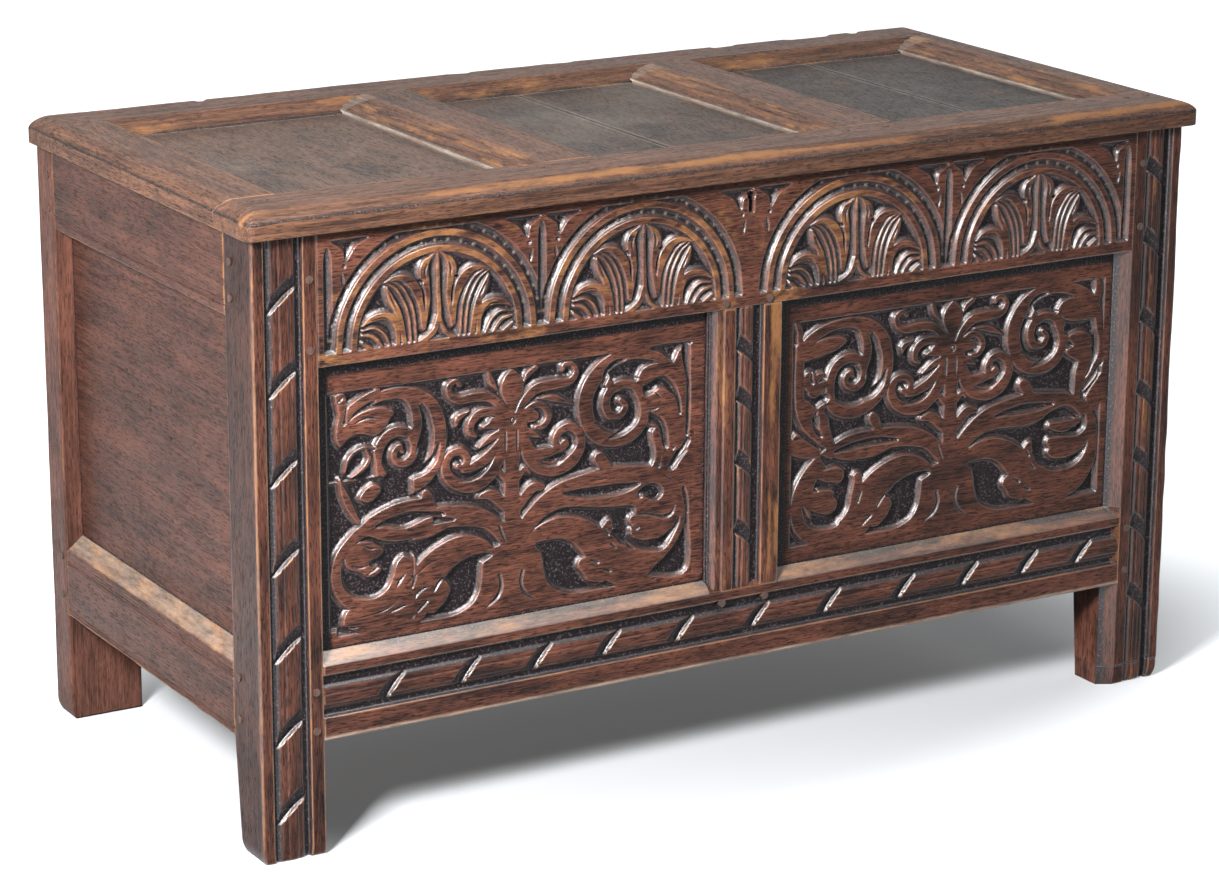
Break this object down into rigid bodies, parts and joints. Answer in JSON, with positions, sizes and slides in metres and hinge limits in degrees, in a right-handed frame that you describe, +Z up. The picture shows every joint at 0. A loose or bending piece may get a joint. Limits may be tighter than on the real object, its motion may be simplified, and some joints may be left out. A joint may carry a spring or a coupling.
{
  "type": "coffer chest",
  "caption": "Joined oak coffer: carved front panels and rail, plain framed sides, framed lid on iron strap hinges, stile feet and a small iron lock behind the keyhole.",
  "frame": {"origin": "on the floor, at the middle of the overall box of the closed coffer", "axes": "+X to the right-hand end, -Y towards the carved front, +Z up"},
  "size_m": [1.204, 0.5791, 0.7015],
  "materials": {
    "oak_carved": "waxed dark oak, carved",
    "oak_side": "dull dark oak",
    "oak_lid": "worn grey-brown oak",
    "oak_plain": "dry unpolished oak",
    "oak_peg": "dark oak end grain",
    "wrought_iron": "blackened wrought iron"
  },
  "bodies": {
    "carcase": {"back_bottom_rail": "oak_plain", "back_muntin": "oak_plain", "back_panel_left": "oak_plain", "back_panel_right": "oak_plain", "back_top_rail": "oak_plain", "bottom_board_1": "oak_plain", "bottom_board_2": "oak_plain", "bottom_board_3": "oak_plain", "bottom_board_4": "oak_plain", "bottom_board_5": "oak_plain", "bottom_board_nails": "wrought_iron", "foot_splice_front_right": "oak_carved", "front_bottom_rail": "oak_carved", "front_muntin": "oak_carved", "front_panel_left": "oak_carved", "front_panel_right": "oak_carved", "front_top_rail": "oak_carved", "hinge_leaf_left": "wrought_iron", "hinge_leaf_nails": "wrought_iron", "hinge_leaf_right": "wrought_iron", "hinge_pin_left": "wrought_iron", "hinge_pin_right": "wrought_iron", "left_bottom_rail": "oak_side", "left_panel": "oak_side", "left_top_rail": "oak_side", "lock_case": "wrought_iron", "lock_nails": "wrought_iron", "pegs_back": "oak_peg", "pegs_front": "oak_peg", "pegs_left": "oak_peg", "pegs_right": "oak_peg", "right_bottom_rail": "oak_side", "right_panel": "oak_side", "right_top_rail": "oak_side", "stile_back_left": "oak_side", "stile_back_right": "oak_side", "stile_front_left": "oak_carved", "stile_front_right": "oak_carved"},
    "lid": {"hinge_strap_left": "wrought_iron", "hinge_strap_nails": "wrought_iron", "hinge_strap_right": "wrought_iron", "lid_back_rail": "oak_lid", "lid_front_rail": "oak_lid", "lid_left_rail": "oak_lid", "lid_muntin_left": "oak_lid", "lid_muntin_right": "oak_lid", "lid_panel_left": "oak_lid", "lid_panel_middle_a": "oak_lid", "lid_panel_middle_b": "oak_lid", "lid_panel_right_a": "oak_lid", "lid_panel_right_b": "oak_lid", "lid_right_rail": "oak_lid", "lid_staple": "wrought_iron", "pegs_lid": "oak_peg", "staple_nails": "wrought_iron"},
    "lock_bolt": {"lock_bolt": "wrought_iron"}
  },
  "joints": [
    {"name": "lid_hinge", "type": "hinge", "parent": "carcase", "child": "lid", "pos_m": [0, 0.284, 0.66695], "axis": [-1, 0, 0], "range_deg": [0, 100]},
    {"name": "lock_bolt_slide", "type": "slide", "parent": "carcase", "child": "lock_bolt", "axis": [1, 0, 0], "range_m": [0, 0.02]}
  ]
}
